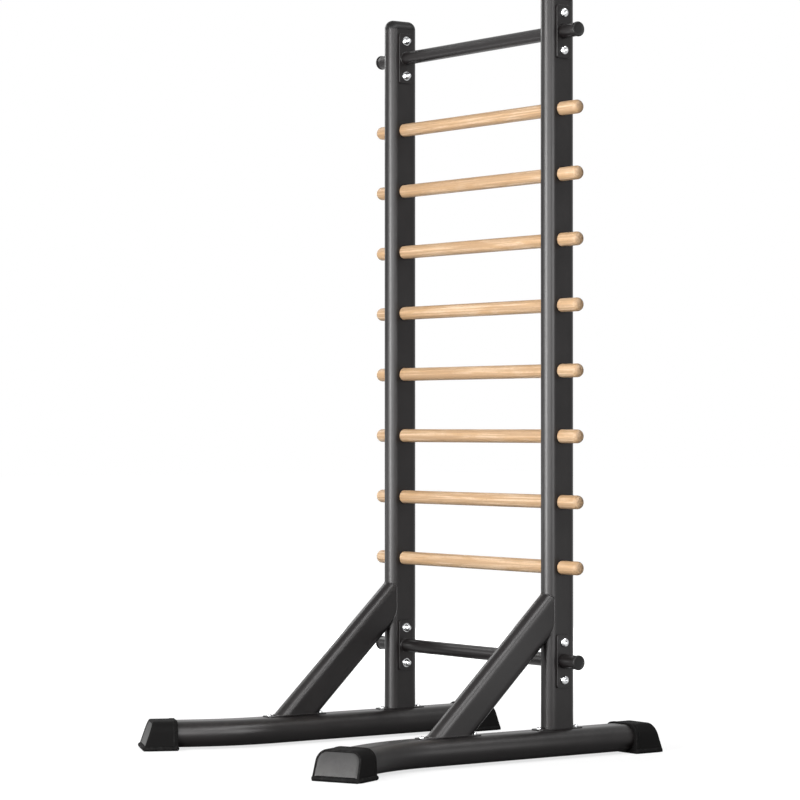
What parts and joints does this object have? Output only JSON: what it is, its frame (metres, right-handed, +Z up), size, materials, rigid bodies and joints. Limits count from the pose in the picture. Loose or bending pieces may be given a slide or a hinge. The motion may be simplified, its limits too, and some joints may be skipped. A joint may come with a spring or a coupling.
{
  "type": "pull-up ladder station",
  "caption": "Free-standing pull-up ladder: flat-oval steel uprights, round wooden rungs, steel crossbars at top and bottom, diagonal braces and outward-bent feet with plastic caps.",
  "frame": {"origin": "on the floor, at the middle of the box that the ladder fills", "axes": "+Z up, X along the rungs, the braces stand in front of the uprights towards -Y"},
  "size_m": [1.0878, 1.183, 2.1069],
  "materials": {
    "black_powder_coat": "satin",
    "black_plastic": "matte",
    "pale_beech": "satin lacquer",
    "bright_zinc": "bright"
  },
  "bodies": {
    "root": {"bottom_crossbar": "black_powder_coat", "left_back_foot_cap": "black_plastic", "left_bottom_crossbar_plug": "black_plastic", "left_bottom_lower_bolt": "bright_zinc", "left_bottom_lower_cap_nut": "bright_zinc", "left_bottom_outer_plate": "black_powder_coat", "left_bottom_upper_bolt": "bright_zinc", "left_bottom_upper_cap_nut": "bright_zinc", "left_brace": "black_powder_coat", "left_brace_back_base_bolt": "bright_zinc", "left_brace_base_plate": "black_powder_coat", "left_brace_front_base_bolt": "bright_zinc", "left_foot": "black_powder_coat", "left_front_foot_cap": "black_plastic", "left_top_crossbar_plug": "black_plastic", "left_top_lower_bolt": "bright_zinc", "left_top_lower_cap_nut": "bright_zinc", "left_top_outer_plate": "black_powder_coat", "left_top_upper_bolt": "bright_zinc", "left_top_upper_cap_nut": "bright_zinc", "left_upright": "black_powder_coat", "left_upright_back_base_bolt": "bright_zinc", "left_upright_base_plate": "black_powder_coat", "left_upright_front_base_bolt": "bright_zinc", "left_upright_top_cap": "black_plastic", "right_back_foot_cap": "black_plastic", "right_bottom_crossbar_plug": "black_plastic", "right_bottom_lower_bolt": "bright_zinc", "right_bottom_lower_cap_nut": "bright_zinc", "right_bottom_outer_plate": "black_powder_coat", "right_bottom_upper_bolt": "bright_zinc", "right_bottom_upper_cap_nut": "bright_zinc", "right_brace": "black_powder_coat", "right_brace_back_base_bolt": "bright_zinc", "right_brace_base_plate": "black_powder_coat", "right_brace_front_base_bolt": "bright_zinc", "right_foot": "black_powder_coat", "right_front_foot_cap": "black_plastic", "right_top_crossbar_plug": "black_plastic", "right_top_lower_bolt": "bright_zinc", "right_top_lower_cap_nut": "bright_zinc", "right_top_outer_plate": "black_powder_coat", "right_top_upper_bolt": "bright_zinc", "right_top_upper_cap_nut": "bright_zinc", "right_upright": "black_powder_coat", "right_upright_back_base_bolt": "bright_zinc", "right_upright_base_plate": "black_powder_coat", "right_upright_front_base_bolt": "bright_zinc", "right_upright_top_cap": "black_plastic", "rung_1": "pale_beech", "rung_2": "pale_beech", "rung_3": "pale_beech", "rung_4": "pale_beech", "rung_5": "pale_beech", "rung_6": "pale_beech", "rung_7": "pale_beech", "rung_8": "pale_beech", "top_crossbar": "black_powder_coat"}
  },
  "joints": []
}
